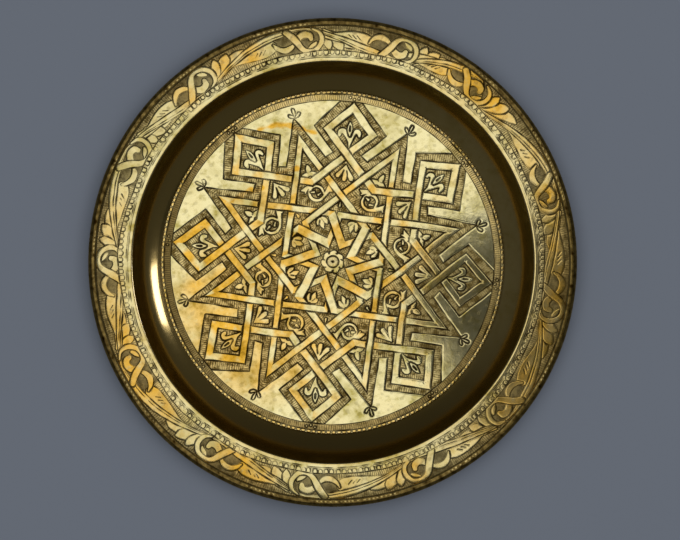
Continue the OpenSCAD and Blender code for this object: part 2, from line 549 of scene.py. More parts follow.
def floor_drawing(x, y):
    """Line distance, ground, hatching and golden tint of the floor at x, y. The hand-cut lines wander a
    little. Ground is what lies inside its outline and outside the straps and leaves, and its hatching crosses
    the straps' direction."""
    wx = x + 0.45 * sway(x, y, 70.0, 11) + 0.1 * sway(x, y, 14.0, 12)
    wy = y + 0.45 * sway(x, y, 70.0, 13) + 0.1 * sway(x, y, 14.0, 14)
    px, py = turned(wx, wy, PATTERN_TURN)
    inside, line, run, tone = weave(px, py)
    outline = polygon(px, py, ground_outline())
    drawing = Drawing(px, py)
    for turn in EIGHTHS:
        qx, qy = turned(px, py, -turn)
        at = np.flatnonzero((qy > 0.0) & (np.abs(qx) < qy + 2.0))
        part = drawing.part(at, qx[at], qy[at])
        for leaves in FLOOR_SPRAYS:
            part.spray(leaves, LEAF_SPREAD)
        for points in FLOOR_CUTS:
            part.cut(points)
        drawing.put(at, part)
    draw_rosette(drawing)
    line = np.minimum(line, np.where(inside > 0.0, FAR, drawing.line))
    line = np.minimum(line, np.abs(outline))
    ground = ease(0.0, 0.35, -inside) * ease(0.0, 0.3, drawing.field) * ease(0.0, 0.35, -outline)
    hatch = strokes(run, HATCH_PITCH, 1.4 * sway(x, y, 9.0, 15))
    gold = floor_gold(x, y, np.hypot(px, py), inside, run, tone) * (1.0 - 0.55 * ground)
    return line, ground, hatch, gold


def ring_row(angle):
    """Radius of the row of ring punches at an angle in degrees: a circle with one wide outward swing, shaped
    as a bell, and a little wandering."""
    off = wrapped(angle - RING_SWING_ANGLE) / RING_SWING_WIDTH
    a = np.radians(angle)
    wander = sway(RING_R * np.cos(a), RING_R * np.sin(a), 38.0, 32)
    return RING_R + RING_SWING * np.exp(-(off**2)) + 0.45 * wander


def stem_line(angle):
    """Height of the stem over the band's middle and its slope, at an angle in degrees, with the share of the
    way from the volute before it to the next one, clockwise. The stem swings between the edges of the band by
    half a cosine wave, which is pulled towards the volute before it."""
    knots = sorted([(a, -side * STEM_REACH) for a, side in UNITS] + [(DIP_ANGLE, -STEM_REACH)])
    knots = [(knots[-1][0] - 360.0, knots[-1][1])] + knots + [(knots[0][0] + 360.0, knots[0][1])]
    ka, kv = np.array(knots).T
    turn = (angle - ka[0]) % 360.0 + ka[0]
    k = np.clip(np.searchsorted(ka, turn) - 1, 0, len(ka) - 2)
    share = np.clip((ka[k + 1] - turn) / (ka[k + 1] - ka[k]), 0.001, 1.0)
    phase = np.pi * share**STEM_EARLY
    height = kv[k + 1] + (kv[k] - kv[k + 1]) * (0.5 - 0.5 * np.cos(phase))
    rise = (kv[k] - kv[k + 1]) * 0.5 * np.sin(phase) * STEM_EARLY * phase / share
    return height, rise / (np.radians(ka[k + 1] - ka[k]) * BAND_R), share


def flange_gold(angle, r, x, y):
    """Golden tint of the flange, partly the brass's own tone and partly painted warm reflection: its places
    along the band, each a flat bell of the angle, and the whole right side, all broken up by a wandering
    value."""
    gold = 0.8 * facing(angle, FLANGE_GOLD_AT, 0.7, 0.97)
    for middle, wide, most in GOLD_PLACES:
        gold = np.maximum(gold, most * np.exp(-((wrapped(angle - middle) / wide) ** 4)))
    gold = np.clip(0.08 + 0.92 * gold * (0.85 + 0.25 * sway(x, y, 15.0, 467)), 0.0, 1.0)
    return gold * (0.3 + 0.7 * ease(*GOLD_FROM, r))


def flange_drawing(angle, r):
    """Line distance, ground, hatching, golden tint and deep ground of the flange at an angle in degrees and a
    radius: the stem, the leaves of the thirteen volutes and the lines along the band."""
    a = np.radians(angle)
    u0 = a * BAND_R
    inner = ring_row(angle) + RING_TO_BAND
    r = r + 0.15 * sway(u0, r, 18.0, 21)
    v0 = r - BAND_R
    stem, slope, share = stem_line(angle)
    half = STEM_HALF[0] + STEM_HALF[1] * ease(0.05, 0.65, share) * (1.0 - ease(0.75, 1.0, share))
    off = (v0 - stem) / np.hypot(1.0, slope)
    drawing = Drawing(u0, v0)
    deep = np.zeros(angle.shape)
    for over_stem in (False, True):
        if over_stem:
            drawing.lay(np.arange(angle.size), np.abs(off) - half)
            drawing.line = np.minimum(drawing.line, np.abs(off + 0.25 * half) + 0.15)
        for middle, side in UNITS:
            u = wrapped(middle - angle) * math.radians(BAND_R)
            at = np.flatnonzero(np.abs(u) < UNIT_REACH)
            if at.size == 0:
                continue
            round_volute = ease(-20.0, -18.0, u) * (1.0 - ease(8.0, 10.0, u))
            deep = np.maximum(deep, round_volute * ease(-7.0, -6.0, side * v0))
            part = drawing.part(at, u[at], side * v0[at])
            for points in VOLUTE if over_stem else (LONG_LEAF,):
                part.spray((points,), BAND_SPREAD)
            for points in VOLUTE_CUTS if over_stem else ():
                part.cut(points)
            if middle == ODD_UNIT:
                part.y = -part.y
            for points in () if over_stem else FAN:
                part.spray((points,), BAND_SPREAD)
            drawing.put(at, part)
    band = np.minimum(r - inner, BAND_OUTER - r)
    line = np.where(band < 0.0, FAR, drawing.line)
    line = np.minimum(line, np.abs(r - inner))
    for plain in PLAIN_LINES:
        line = np.minimum(line, np.abs(r - plain) + 0.12)
    ground = ease(0.0, 0.3, drawing.field) * ease(0.0, 0.3, band)
    hatch = strokes(u0, HATCH_PITCH, 1.6 * sway(u0, r, 7.0, 22))
    gold = flange_gold(angle, r, r * np.cos(a), r * np.sin(a)) * (1.0 - 0.55 * ground)
    return line, ground, hatch, gold, deep * ground


def nearest_place(angle, count, shift):
    """Number of the nearest of count places round the tray, each shifted by its share of the pitch, and the
    angle from it in radians."""
    pitch = 360.0 / count
    k = np.round(angle / pitch).astype(int)
    return k % count, np.radians(angle - (k + shift[k % count]) * pitch)


def ring_punches(angle, r, count):
    """Distance to a row of bowls that hang on the band's inner line, and the dark ground between them. A bowl
    is the lower half of a ring with straight sides above it."""
    pick = np.random.default_rng(31)
    shift = pick.uniform(-0.13, 0.13, count)
    drop = pick.uniform(-0.3, 0.3, count)
    size = RING_SIZE * pick.uniform(0.88, 1.08, count)
    faint = pick.uniform(0.0, 0.1, count)
    k, off = nearest_place(angle, count, shift)
    b = r - ring_row(angle) - drop[k]
    bowl = np.where(b < 0.0, np.hypot(off * RING_R, b), np.abs(off * RING_R)) - size[k]
    above = ease(-0.2, 0.2, b - RING_TO_BAND)
    between = ease(0.1, 0.4, bowl) * ease(-1.2, -0.3, b) * (1.0 - above)
    return np.abs(bowl) + faint[k] + FAR * above, between


class Section:
    """The sheet's section, as radii and heights in millimetres: the wall is an arc that steepens from the
    foot to the mouth, the mouth a small round, the flange an arc that falls to the crease, and the roll a
    circle."""

    def __init__(self, sizes):
        self.sheet = sizes.sheet / MM
        self.floor_r = sizes.floor_radius / MM
        self.top = SHEET_HIGH[2] / MM
        self.outer_r = SHEET_HIGH[0] / MM
        self.foot = sizes.foot_slope
        self.steep = sizes.mouth_slope
        self.mouth_r = sizes.mouth_radius / MM
        self.fall = sizes.flange_slope
        self.roll_r = sizes.roll_radius / MM
        self.foot_r = self.floor_r + self.sheet * math.tan(0.5 * self.foot)
        rise = self.top - self.sheet - self.mouth_r * (1.0 - math.cos(self.steep))
        self.wall_r = rise / (math.cos(self.foot) - math.cos(self.steep))
        self.wall_c = (
            self.floor_r - self.wall_r * math.sin(self.foot),
            self.sheet + self.wall_r * math.cos(self.foot),
        )
        reach = self.wall_r + self.mouth_r
        self.mouth_c = (
            self.wall_c[0] + reach * math.sin(self.steep),
            self.wall_c[1] - reach * math.cos(self.steep),
        )
        up = self.roll_r - sizes.crest / MM
        inward = math.sqrt(self.roll_r**2 - up**2)
        self.crease_r = self.outer_r - self.roll_r - inward
        self.flange_r = (self.crease_r - self.mouth_c[0]) / math.sin(self.fall)
        self.flange_c = (self.mouth_c[0], self.top - self.flange_r)
        crease_z = self.flange_c[1] + self.flange_r * math.cos(self.fall)
        self.roll_c = (self.outer_r - self.roll_r, crease_z - up)
        under = (-inward - self.sheet * math.sin(self.fall), up - self.sheet * math.cos(self.fall))
        self.seam = math.atan2(under[1], under[0]) + math.radians(SEAM_TURN)

    def arc(self, middle, radius, first, last, count):
        """Points on an arc from one angle to another."""
        a = np.linspace(first, last, count)
        return np.stack((middle[0] + radius * np.cos(a), middle[1] + radius * np.sin(a)), axis=1)

    def wall(self, depth, count):
        """Wall and mouth, at a depth below the upper side."""
        wall = self.arc(self.wall_c, self.wall_r + depth, self.foot - QUARTER, self.steep - QUARTER, count)
        few = max(6, count // 4)
        mouth = self.arc(self.mouth_c, self.mouth_r - depth, self.steep + QUARTER, QUARTER, few)
        return np.vstack((wall, mouth[1:]))

    def flange(self, depth, count):
        """Flange, at a depth below the upper side, which laps a little into the roll."""
        end = self.fall + 0.3 * self.sheet / self.flange_r
        return self.arc(self.flange_c, self.flange_r - depth, QUARTER, QUARTER - end, count)


def with_underside(count, cut, ground, gold, tarnish_and_painted_shade):
    """The four shades of a piece's points: those of the worked rows, and of count plain ones after them."""
    shades = {"cut": cut, "ground": ground, "gold": gold, "tarnish_and_painted_shade": tarnish_and_painted_shade}
    for key, values in shades.items():
        plain = np.zeros((count,) + values.shape[1:])
        if key == "tarnish_and_painted_shade":
            plain += UNDERSIDE_TARNISH
        shades[key] = np.concatenate((values, plain))
    return shades


def write_piece(name, points, loops, starts, smooth, uv, shades):
    """Makes one piece of the sheet from arrays: points in millimetres, the corners of all faces in a row with
    the place where each face starts, whether a face is smooth, the map of the corners, and the shades of the
    points. All pieces share one brass, which is made once."""
    mesh = bpy.data.meshes.new(name)
    mesh.vertices.add(len(points))
    mesh.vertices.foreach_set("co", (np.asarray(points) * MM).astype(np.float32).ravel())
    mesh.loops.add(len(loops))
    mesh.loops.foreach_set("vertex_index", loops.astype(np.int32))
    mesh.polygons.add(len(starts))
    mesh.polygons.foreach_set("loop_start", starts.astype(np.int32))
    mesh.polygons.foreach_set("use_smooth", smooth)
    layer = mesh.uv_layers.new(name="OFBake")
    layer.uv.foreach_set("vector", uv.astype(np.float32).ravel())
    for key, values in shades.items():
        made = mesh.attributes.new(key, "FLOAT", "POINT")
        made.data.foreach_set("value", np.asarray(values, np.float32).ravel())
    mesh.update(calc_edges=True)
    edges = np.empty(len(loops), np.int32)
    mesh.loops.foreach_get("edge_index", edges)
    flat = np.repeat(~smooth, np.diff(np.append(starts, len(loops))))
    sharp = np.zeros(len(mesh.edges), bool)
    sharp[edges[flat]] = True
    mesh.attributes.new("sharp_edge", "BOOLEAN", "EDGE").data.foreach_set("value", sharp)
    if mesh.validate(verbose=False):
        raise RuntimeError(f"{name} has faces that do not close")
    brass = bpy.data.materials.get("engraved_brass")
    mesh.materials.append(brass or engraved_brass(bpy.context.scene.tray_finish))
    piece = bpy.data.objects.new(name, mesh)
    bpy.context.scene.collection.objects.link(piece)
    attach(piece, "root")
    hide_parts("tray_sheet")


def quad_grid(ids):
    """Corners of the faces between neighbours in a grid of point numbers, in the order that makes the first
    direction turn to the second round the outside."""
    return np.stack((ids[:-1, :-1], ids[1:, :-1], ids[1:, 1:], ids[:-1, 1:]), axis=-1).reshape(-1, 4)


def round_grid(r, angles):
    """Angle in degrees, radius, x and y of the points at each radius, row by row, and each angle."""
    turn = np.degrees(angles)[None, :] + np.zeros((len(r), 1))
    r = r[:, None] + np.zeros((1, len(angles)))
    return turn, r, r * np.cos(np.radians(turn)), r * np.sin(np.radians(turn))


def lathe(name, section, angles, rises, flats, shades):
    """A closed section of points (radius, height), clockwise with the height upwards, carried round the axis
    through the angles. rises moves the first rows of points along the section's normal, point by point. flats
    names the spans of the section that are flat strips. A turn of less than a full circle is closed by its
    section at both ends. The map lays the section's run inwards from the outer radius, at the same angles."""
    rows = len(section)
    whole = abs(angles[-1] - angles[0] - math.tau) < 1e-9
    if whole:
        angles = angles[:-1]
    columns = len(angles)
    ahead = np.roll(section, -1, axis=0) - section
    behind = section - np.roll(section, 1, axis=0)
    way = ahead / np.hypot(*ahead.T)[:, None] + behind / np.hypot(*behind.T)[:, None]
    way[0] = ahead[0]
    way[len(rises) - 1] = behind[len(rises) - 1]
    way /= np.hypot(*way.T)[:, None]
    normal = np.stack((-way[:, 1], way[:, 0]), axis=1)
    lift = np.zeros((rows, columns))
    lift[: len(rises)] = rises
    r = section[:, :1] + normal[:, :1] * lift
    z = section[:, 1:] + normal[:, 1:] * lift
    points = np.stack((r * np.cos(angles), r * np.sin(angles), z), axis=-1).reshape(-1, 3)
    ids = np.arange(rows * columns).reshape(rows, columns)
    ids = np.vstack((ids, ids[:1]))
    if whole:
        ids = np.hstack((ids, ids[:, :1]))
    quads = quad_grid(ids)
    run = np.concatenate(((0.0,), np.cumsum(np.hypot(*ahead.T))))
    outer = section[:, 0].max()
    spread = np.append(angles, angles[0] + math.tau) if whole else angles
    flat_r = (outer - run)[:, None]
    chart = np.stack((flat_r * np.cos(spread), flat_r * np.sin(spread)), axis=-1).reshape(-1, 2)
    uv = chart[quad_grid(np.arange(len(chart)).reshape(rows + 1, len(spread)))].reshape(-1, 2)
    low = uv.min(axis=0)
    uv = 0.03 + 0.96 * (uv - low) / (uv.max(axis=0) - low).max()
    smooth = np.ones((rows, ids.shape[1] - 1), bool)
    smooth[list(flats)] = False
    smooth = smooth.ravel()
    loops = quads.ravel()
    starts = np.arange(len(quads)) * 4
    if not whole:
        caps = np.concatenate((ids[:rows, 0][::-1], ids[:rows, -1]))
        starts = np.append(starts, (len(loops), len(loops) + rows))
        loops = np.concatenate((loops, caps))
        smooth = np.append(smooth, (False, False))
        cap_uv = 0.02 * (section - section.min(axis=0)) / np.ptp(section, axis=0).max()
        uv = np.vstack((uv, cap_uv[::-1], cap_uv))
    full = {key: np.broadcast_to(values, (rows, columns)) for key, values in shades.items()}
    write_piece(name, points, loops, starts, smooth, uv, full)


class Value:
    """Output of a shader node that takes part in arithmetic: each operator adds a Math node."""

    def __init__(self, net, socket):
        self.net = net
        self.socket = socket

    def math(self, operation, *inputs):
        """A Math node on these inputs."""
        return self.net.add("ShaderNodeMath", {"operation": operation}, dict(enumerate(inputs)))

    def __add__(self, other):
        return self.math("ADD", self, other)

    def __radd__(self, other):
        return self.math("ADD", other, self)

    def __sub__(self, other):
        return self.math("SUBTRACT", self, other)

    def __rsub__(self, other):
        return self.math("SUBTRACT", other, self)

    def __mul__(self, other):
        return self.math("MULTIPLY", self, other)

    def __rmul__(self, other):
        return self.math("MULTIPLY", other, self)

    def __pow__(self, other):
        return self.math("POWER", self, other)

    def sin(self):
        """Its sine."""
        return self.math("SINE", self)

    def ease(self, low, high):
        """Smooth step: 0 below low and 1 above high."""
        inputs = {"Value": self, "From Min": low, "From Max": high}
        return self.net.add("ShaderNodeMapRange", {"interpolation_type": "SMOOTHSTEP"}, inputs)


class Net:
    """The nodes of one material."""

    def __init__(self, name):
        self.material = bpy.data.materials.new(name)
        self.material.use_nodes = True
        self.tree = self.material.node_tree
        self.tree.nodes.clear()

    def add(self, kind, settings, inputs, output=0):
        """Adds a node of a kind, with its settings and the values or links of its sockets, and returns one of
        its outputs, or none."""
        node = self.tree.nodes.new(kind)
        for key, value in settings.items():
            setattr(node, key, value)
        for key, value in inputs.items():
            if isinstance(value, Value):
                self.tree.links.new(value.socket, node.inputs[key])
            else:
                node.inputs[key].default_value = value
        return None if output is None else Value(self, node.outputs[output])

    def blend(self, share, first, second, kind="MIX"):
        """Colour between two, by the share of the second, or of their product."""
        settings = {"data_type": "RGBA", "blend_type": kind}
        return self.add("ShaderNodeMix", settings, {0: share, 6: first, 7: second}, 2)

    def shade(self, name):
        """A shade of the piece's own points."""
        return self.add("ShaderNodeAttribute", {"attribute_name": name}, {}, "Fac")

    def noise(self, place, scale, detail, roughness=0.5):
        """Noise of a scale, from 0 to 1."""
        inputs = {"Vector": place, "Scale": scale, "Detail": detail, "Roughness": roughness}
        return self.add("ShaderNodeTexNoise", {}, inputs, "Fac")

    def bump(self, strength, distance, height):
        """Normal of a surface with this height."""
        inputs = {"Strength": strength, "Distance": distance, "Height": height}
        return self.add("ShaderNodeBump", {}, inputs, "Normal")

    def finish(self, kind, inputs, output="BSDF"):
        """The material with a shader node of this kind on its output."""
        shader = self.add(kind, {}, inputs, output)
        self.add("ShaderNodeOutputMaterial", {}, {"Surface": shader}, None)
        return self.material


def color(values):
    """A colour property as the four numbers of a socket."""
    return (values[0], values[1], values[2], 1.0)


def axis_radius(net, place):
    """Distance from the tray's axis, in metres."""
    x = net.add("ShaderNodeSeparateXYZ", {}, {"Vector": place}, "X")
    y = Value(net, x.socket.node.outputs["Y"])
    return (x * x + y * y) ** 0.5


def engraved_brass(finish):
    """Polished brass with cloudy dull places and a golden tint, partly painted warm reflection, mottled
    ground, dark patina in the cut lines, fine spinning marks and a brown tarnish on the plain sides. The
    patina's and the tarnish's shades also carry painted shade and a painted dark reflection on some sides."""
    net = Net("engraved_brass")
    place = net.add("ShaderNodeTexCoord", {}, {}, "Object")
    cut = net.shade("cut")
    ground = net.shade("ground")
    gold = net.shade("gold")
    tarnish_and_painted_shade = net.shade("tarnish_and_painted_shade")
    radius = axis_radius(net, place)
    clouds = net.noise(place, 46.0, 4.0, 0.6)
    mottle = net.noise(place, 240.0, 4.0, 0.65)
    grain = net.noise(place, 1100.0, 3.0, 0.6)
    spun = (radius * 5200.0 + mottle * 3.0).sin()
    worn = 0.1 + 0.6 * clouds.ease(0.42, 0.68) + 0.5 * mottle.ease(0.47, 0.72)
    metal = net.blend(worn, color(finish.pale), color(finish.dull))
    specks = (mottle * 0.75 + grain * 0.25).ease(0.4, 0.6)
    base = net.blend(specks, color(finish.ground), color(finish.ground_light))
    metal = net.blend(ground, metal, base)
    metal = net.blend(gold * mottle.ease(0.1, 0.5), metal, color(finish.warm), "MULTIPLY")
    metal = net.blend(tarnish_and_painted_shade, metal, color(finish.bronze))
    metal = net.blend(cut, metal, color(finish.patina))
    rough = 0.08 + mottle * 0.06 + ground * 0.3 + cut * 0.2 + tarnish_and_painted_shade * 0.02
    height = (grain * 0.2 + mottle * 0.75) * (1.0 - 0.85 * tarnish_and_painted_shade) + spun * tarnish_and_painted_shade * 0.04
    inputs = {
        "Base Color": metal,
        "Roughness": rough,
        "Metallic": 1.0,
        "Specular Tint": (0.6, 0.45, 0.2, 1.0),
        "Coat Weight": tarnish_and_painted_shade * (1.0 - cut) * 0.4,
        "Coat Roughness": 0.08,
        "Normal": net.bump(0.25, 0.0002, height),
    }
    return net.finish("ShaderNodeBsdfPrincipled", inputs)


def drawn_steel(finish):
    """Drawn steel wire with fine lengthwise marks and a thin tarnish."""
    net = Net("drawn_steel")
    place = net.add("ShaderNodeTexCoord", {}, {}, "Object")
    marks = (axis_radius(net, place) * 9000.0).sin()
    stain = net.noise(place, 90.0, 4.0, 0.6)
    metal = net.blend(stain.ease(0.45, 0.7) * 0.6, color(finish.steel), color(finish.stain))
    rough = 0.38 + stain * 0.2
    bump = net.bump(0.2, 0.0001, marks + stain)
    inputs = {"Base Color": metal, "Roughness": rough, "Metallic": 1.0, "Normal": bump}
    return net.finish("ShaderNodeBsdfPrincipled", inputs)


def a_length(name, description, default):
    """A length, in metres."""
    return FloatProperty(name=name, description=description, default=default, unit="LENGTH")


def a_slope(name, description, degrees):
    """An angle, given in degrees."""
    return FloatProperty(name=name, description=description, default=math.radians(degrees), subtype="ANGLE")


def a_number(name, description, default):
    """A number of like marks round the tray."""
    return IntProperty(name=name, description=description, default=default, min=3)


def a_brightness(name, description, default):
    """A brightness, where 1 is plain."""
    return FloatProperty(name=name, description=description, default=default, min=0.0)


def a_colour(name, description, default):
    """A colour, as linear red, green and blue."""
    return FloatVectorProperty(name=name, description=description, default=default, subtype="COLOR", size=3)


class TraySizes(PropertyGroup):
    """Sizes of the sheet and of the work on it."""

    sheet: a_length("Sheet", "Thickness of the brass sheet", 0.001)
    floor_radius: a_length("Floor radius", "Radius of the flat floor", 0.106)
    foot_slope: a_slope("Foot slope", "Slope of the wall at the floor", 25)
    mouth_slope: a_slope("Mouth slope", "Slope of the wall just below the mouth", 65)
    mouth_radius: a_length("Mouth round", "Radius of the mouth's rounded edge", 0.002)
    flange_slope: a_slope("Flange slope", "Downward slope of the flange at the roll", 14)
    roll_radius: a_length("Roll radius", "Outside radius of the rolled edge", 0.003)
    crest: a_length("Crest", "Height of the roll's crest above the crease", 0.0008)
    seam_gap: a_length("Seam", "Open gap between the raw edge and the flange", 0.0004)
    ground_depth: a_length("Ground depth", "Depth of the hatched ground", 0.00026)
    line_depth: a_length("Line depth", "Depth of a cut line", 0.0003)
    line_width: a_length("Line width", "Width of a cut line", 0.00096)
    shoulder: a_length("Shoulder", "Fall of the metal beside a line", 0.00006)
    beads: a_number("Beads", "Beads round the floor", 209)
    rings: a_number("Ring punches", "Half rings round the flange", 227)
    dashes: a_number("Dashes", "Dashes rolled into the crest", 330)


class TrayFinish(PropertyGroup):
    """Colours of the metal."""

    pale: a_colour("Brass", "Polished brass", (0.85, 0.77, 0.43))
    dull: a_colour("Dull brass", "Dull places", (0.40, 0.335, 0.085))
    # warm also colours the painted warm reflection in the golden places
    warm: a_colour("Golden tint", "Tint of golden places", (1.0, 0.635, 0.14))
    ground: a_colour("Ground", "Hatched ground", (0.17, 0.118, 0.03))
    ground_light: a_colour("Light ground", "Worn ground", (0.88, 0.715, 0.31))
    patina: a_colour("Patina", "Patina in the cut lines", (0.014, 0.006, 0.0))
    # bronze is also the colour of the painted shade and painted dark reflection in the tarnish shade
    bronze: a_colour("Tarnish", "Tarnished plain sides", (0.27, 0.185, 0.045))
    steel: a_colour("Wire", "Steel wire in the edge", (0.46, 0.46, 0.48))
    stain: a_colour("Wire stain", "Tarnish on the wire", (0.20, 0.15, 0.10))


class TrayStage(PropertyGroup):
    """Camera, light and floor."""

    camera_height: a_length("Camera height", "Height of the camera above the tray", 1.5)
    view_width: a_length("View width", "Width of the view at the tray", 0.4156)
    view_middle: FloatVectorProperty(
        name="View middle",
        description="Point of the tray in the middle of the view",
        default=(0.0039, -0.0047),
        size=2,
        subtype="XYZ_LENGTH",
    )
    camera_side: a_length("Camera offset", "Distance of the camera to the left", 0.05)
    light: a_brightness("Light", "Brightness of the large soft light", 1.0)
    ambient: a_brightness("Ambient", "Brightness all round", 0.14)
    floor: a_colour("Floor", "Colour of the floor", (0.245, 0.28, 0.352))


def engraved(line, ground, hatch, press, sizes):
    """Darkness and rise of engraved metal, from the distance to a line, the ground, its hatching and the
    pressure of the hand: the ground lies lower, its strokes and the lines lower again, and the metal falls a
    little towards a line."""
    half = 0.5 * sizes.line_width / MM * press
    cut = (1.0 - ease(0.4 * half, 1.5 * half, line)) * np.clip(0.55 + 0.5 * press, 0.0, 1.0)
    stroke = ground * ease(0.35, 0.85, hatch)
    shoulder = 1.0 - ease(0.2, 1.3, line)
    rise = ground * sizes.ground_depth / MM + stroke * STROKE_DEPTH + shoulder * sizes.shoulder / MM
    rise = -rise - cut * (1.0 - 0.6 * ground) * sizes.line_depth / MM
    return np.maximum(cut, STROKE_SHADE * stroke), rise


class TRAY_OT_floor(Operator):
    """Builds the engraved floor as four quarters"""

    bl_idname = "tray.floor"
    bl_label = "Engraved floor"

    def execute(self, context):
        """A square grid is bent to a quarter disc that keeps areas equal: the larger parameter is the radius,
        and their ratio the angle. The upper side takes the engraving, and the underside is flat."""
        sizes = context.scene.tray_sizes
        count = FLOOR_GRID
        p, q = np.meshgrid(np.linspace(0.0, 1.0, count), np.linspace(0.0, 1.0, count), indexing="ij")
        most = np.maximum(p, q)
        bend = 0.5 * QUARTER * np.minimum(p, q) / np.maximum(most, 1e-12)
        r = DRAWING_R * most
        ids = np.arange(count * count).reshape(count, count)
        edge = np.concatenate((ids[:-1, 0], ids[-1, :-1], ids[:0:-1, -1], ids[0, :0:-1]))
        below = np.arange(len(edge)) + count * count
        quads = quad_grid(ids)
        sides = np.stack((edge, below, np.roll(below, -1), np.roll(edge, -1)), axis=1)
        loops = np.concatenate((quads.ravel(), sides.ravel(), below[::-1]))
        starts = np.arange(len(quads) + len(sides) + 1) * 4
        smooth = np.zeros(len(starts), bool)
        smooth[: len(quads)] = True
        for quarter in range(4):
            a = np.where(p >= q, bend, QUARTER - bend) + QUARTER * quarter
            x = (r * np.cos(a)).ravel()
            y = (r * np.sin(a)).ravel()
            inward = DRAWING_R - np.hypot(x, y)
            line, ground, hatch, gold = floor_drawing(x, y)
            press = 0.82 + 0.28 * sway(x, y, 11.0, 16)
            cut, rise = engraved(line, ground, hatch, press, sizes)
            # Painted dark reflection over the floor's right side: more patina colour in the ground and more
            # tarnish colour
            dark_reflection = 1.0 - ease(*DARK_REFLECTION_FADE, np.hypot(x - DARK_REFLECTION_MIDDLE[0], y - DARK_REFLECTION_MIDDLE[1]))
            cut = np.maximum(cut, 0.2 * ease(0.35, 1.0, sway(x, y, 5.0, 25)))
            cut = np.maximum(cut, 0.35 * dark_reflection * ground)
            waves = 0.03 * sway(x, y, 34.0, 41) + 0.006 * sway(x, y, 9.0, 42)
            z = sizes.sheet / MM + rise * ease(0.0, 0.6, inward) + waves * ease(0.0, 8.0, inward)
            upper = np.stack((x, y, z), axis=1)
            lower = np.stack((x[edge], y[edge], np.zeros(len(edge))), axis=1)
            flat = np.stack(turned(x, y, -90.0 * quarter), axis=1) / DRAWING_R
            chart = 0.005 + 0.985 * flat
            corner = 0.82 + 0.17 * flat[edge]
            side_uv = np.stack((chart[edge], chart[edge], np.roll(chart[edge], -1, axis=0)), axis=1)
            side_uv = np.concatenate((side_uv, side_uv[:, 2:]), axis=1).reshape(-1, 2)
            uv = np.vstack((chart[quads.ravel()], side_uv, corner[::-1]))
            shades = with_underside(len(edge), cut, ground, gold, 0.32 * dark_reflection)
            name = f"floor_{quarter + 1}"
            write_piece(name, np.vstack((upper, lower)), loops, starts, smooth, uv, shades)
        return {"FINISHED"}


class TRAY_OT_border(Operator):
    """Builds the hatched and beaded border of the floor"""

    bl_idname = "tray.border"
    bl_label = "Beaded border"

    def execute(self, context):
        """A flat ring: radial strokes between two lines, scallops where the diamonds touch it, and a row of
        beads, each the upper part of an egg on the nearest place of the row."""
        sizes = context.scene.tray_sizes
        section = Section(sizes)
        rows, count = BORDER_GRID
        angles = np.linspace(0.0, math.tau, count + 1)
        turn, r, x, y = round_grid(np.linspace(DRAWING_R, section.floor_r, rows), angles[:-1])
        pick = np.random.default_rng(51)
        shift = pick.uniform(-0.08, 0.08, sizes.beads)
        size = pick.uniform(0.9, 1.08, sizes.beads)
        k, off = nearest_place(turn, sizes.beads, shift)
        away = np.hypot(off * r / (BEAD_HALF[0] * size[k]), (r - BEAD_RING_R) / BEAD_HALF[1])
        bead = np.sqrt(np.clip(1.0 - away**4, 0.0, 1.0))
        px, py = turned(x, y, PATTERN_TURN)
        scallop = np.full(r.shape, FAR)
        for eighth in EIGHTHS:
            qx, qy = turned(px, py, -eighth)
            for sx, sy, sr in TIP_SCALLOPS:
                scallop = np.minimum(scallop, np.hypot(qx - sx, qy - sy) - sr)
        band = np.minimum(r - HATCH_BAND[0], HATCH_BAND[1] - r)
        ground = ease(0.0, 0.25, band) * ease(0.0, 0.3, scallop)
        hatch = strokes(np.radians(turn) * DRAWING_R, BORDER_HATCH_PITCH, 1.3 * sway(x, y, 8.0, 52))
        line = np.minimum(np.abs(r - BORDER_LINES[0]), np.abs(r - BORDER_LINES[1]))
        line = np.minimum(np.where(scallop < 0.0, FAR, line), np.abs(scallop))
        press = 0.7 + 0.25 * sway(x, y, 11.0, 16)
        cut, rise = engraved(line, ground, hatch, press, sizes)
        trench = ease(*TRENCH_EDGE, r) * (1.0 - ease(0.0, 0.35, bead))
        rise = (rise - TRENCH_DEPTH * trench + BEAD_HEIGHT * bead) * ease(0.0, 0.3, r - DRAWING_R)
        beaded = ease(*BEAD_EDGE, r)
        # Painted shade on the hatched band, kept in stain: strongest on the lower left and at the left and
        # right sides
        stain = 0.8 * (1.0 - ease(-0.1, 0.95, (y + 0.5 * x) / r)) * (0.3 + 0.7 * (x / r) ** 2)
        stain *= 1.0 - beaded
        # Painted shade on the beads round one side, kept in shady
        shady = facing(turn, BEADS_SHADY_AT, 0.1, 0.9) * beaded
        cut = np.maximum(cut, 0.5 * trench)
        cut = cut + (1.0 - cut) * (0.45 * stain + 0.35 * shady)
        # Painted light: less hatched ground towards the upper right
        ground = ground * (0.75 - 0.3 * ease(0.1, 0.9, (y + x) / r))
        upper = np.stack((r[:, 0], np.full(rows, section.sheet)), axis=1)
        lower = ((section.foot_r, 0.0), (BORDER_UNDER_R, 0.0), (DRAWING_R, 0.0))
        shades = with_underside(len(lower), cut, ground, 0.3 + 0.3 * bead, stain)
        flats = range(rows - 1, rows + len(lower))
        lathe("bead_border", np.vstack((upper, lower)), angles, rise, flats, shades)
        return {"FINISHED"}


